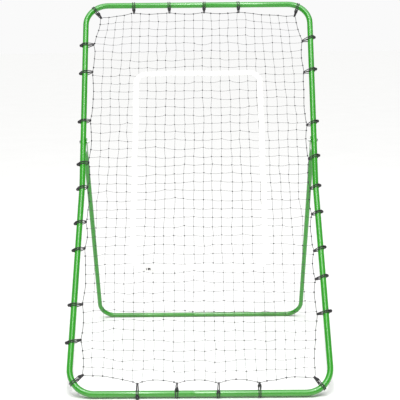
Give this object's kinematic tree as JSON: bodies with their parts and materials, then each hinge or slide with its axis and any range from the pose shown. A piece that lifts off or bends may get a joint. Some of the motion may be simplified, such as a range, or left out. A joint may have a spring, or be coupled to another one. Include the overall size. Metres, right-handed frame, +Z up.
{
  "type": "pitch back rebounder",
  "caption": "Leaning rectangular tube frame with a net laced into it by elastic ball ties, a strike zone band on the net and a folding U-shaped rear leg bolted to the frame's sides.",
  "frame": {"origin": "on the ground under the middle of the object's box, halfway between the front of the bottom bar's ties and the back of the rear bar", "axes": "+Z up; -Y is the way the net faces, with the frame leaning back towards +Y; +X is to the right as seen from the front"},
  "size_m": [1.087, 1.074, 1.5577],
  "materials": {
    "green_powder_coat": "glossy bright green powder coat",
    "zinc_steel": "satin zinc plate",
    "black_nylon": "matte moulded nylon",
    "net_twine": "matte knotted dark twine",
    "white_webbing": "matte woven white webbing",
    "elastic_cord": "matte braided black elastic cord"
  },
  "bodies": {
    "front_frame": {"frame_tube_lower_left": "green_powder_coat", "frame_tube_lower_right": "green_powder_coat", "frame_tube_upper_left": "green_powder_coat", "frame_tube_upper_right": "green_powder_coat", "pivot_bolt_left": "zinc_steel", "pivot_bolt_right": "zinc_steel", "pivot_spacer_left": "black_nylon", "pivot_spacer_right": "black_nylon", "pivot_nut_left": "zinc_steel", "pivot_nut_right": "zinc_steel", "net_panel": "net_twine", "net_border_cord": "net_twine", "strike_zone_band": "white_webbing", "strike_zone_lashing": "elastic_cord", "bungee_tie_bottom_1": "elastic_cord", "bungee_tie_bottom_2": "elastic_cord", "bungee_tie_bottom_3": "elastic_cord", "bungee_tie_bottom_4": "elastic_cord", "bungee_tie_corner_bottom_left": "elastic_cord", "bungee_tie_corner_bottom_right": "elastic_cord", "bungee_tie_corner_top_left": "elastic_cord", "bungee_tie_corner_top_right": "elastic_cord", "bungee_tie_left_1": "elastic_cord", "bungee_tie_left_2": "elastic_cord", "bungee_tie_left_3": "elastic_cord", "bungee_tie_left_4": "elastic_cord", "bungee_tie_left_5": "elastic_cord", "bungee_tie_left_6": "elastic_cord", "bungee_tie_left_7": "elastic_cord", "bungee_tie_left_8": "elastic_cord", "bungee_tie_left_9": "elastic_cord", "bungee_tie_right_1": "elastic_cord", "bungee_tie_right_2": "elastic_cord", "bungee_tie_right_3": "elastic_cord", "bungee_tie_right_4": "elastic_cord", "bungee_tie_right_5": "elastic_cord", "bungee_tie_right_6": "elastic_cord", "bungee_tie_right_7": "elastic_cord", "bungee_tie_right_8": "elastic_cord", "bungee_tie_right_9": "elastic_cord", "bungee_tie_top_1": "elastic_cord", "bungee_tie_top_2": "elastic_cord", "bungee_tie_top_3": "elastic_cord", "bungee_tie_top_4": "elastic_cord"},
    "rear_leg": {"rear_leg_tube_left": "green_powder_coat", "rear_leg_tube_right": "green_powder_coat"}
  },
  "joints": [
    {"name": "rear_leg_fold", "type": "hinge", "parent": "front_frame", "child": "rear_leg", "pos_m": [0, 0.07005, 0.94644], "axis": [-1, 0, 0], "range_deg": [0, 32]}
  ]
}
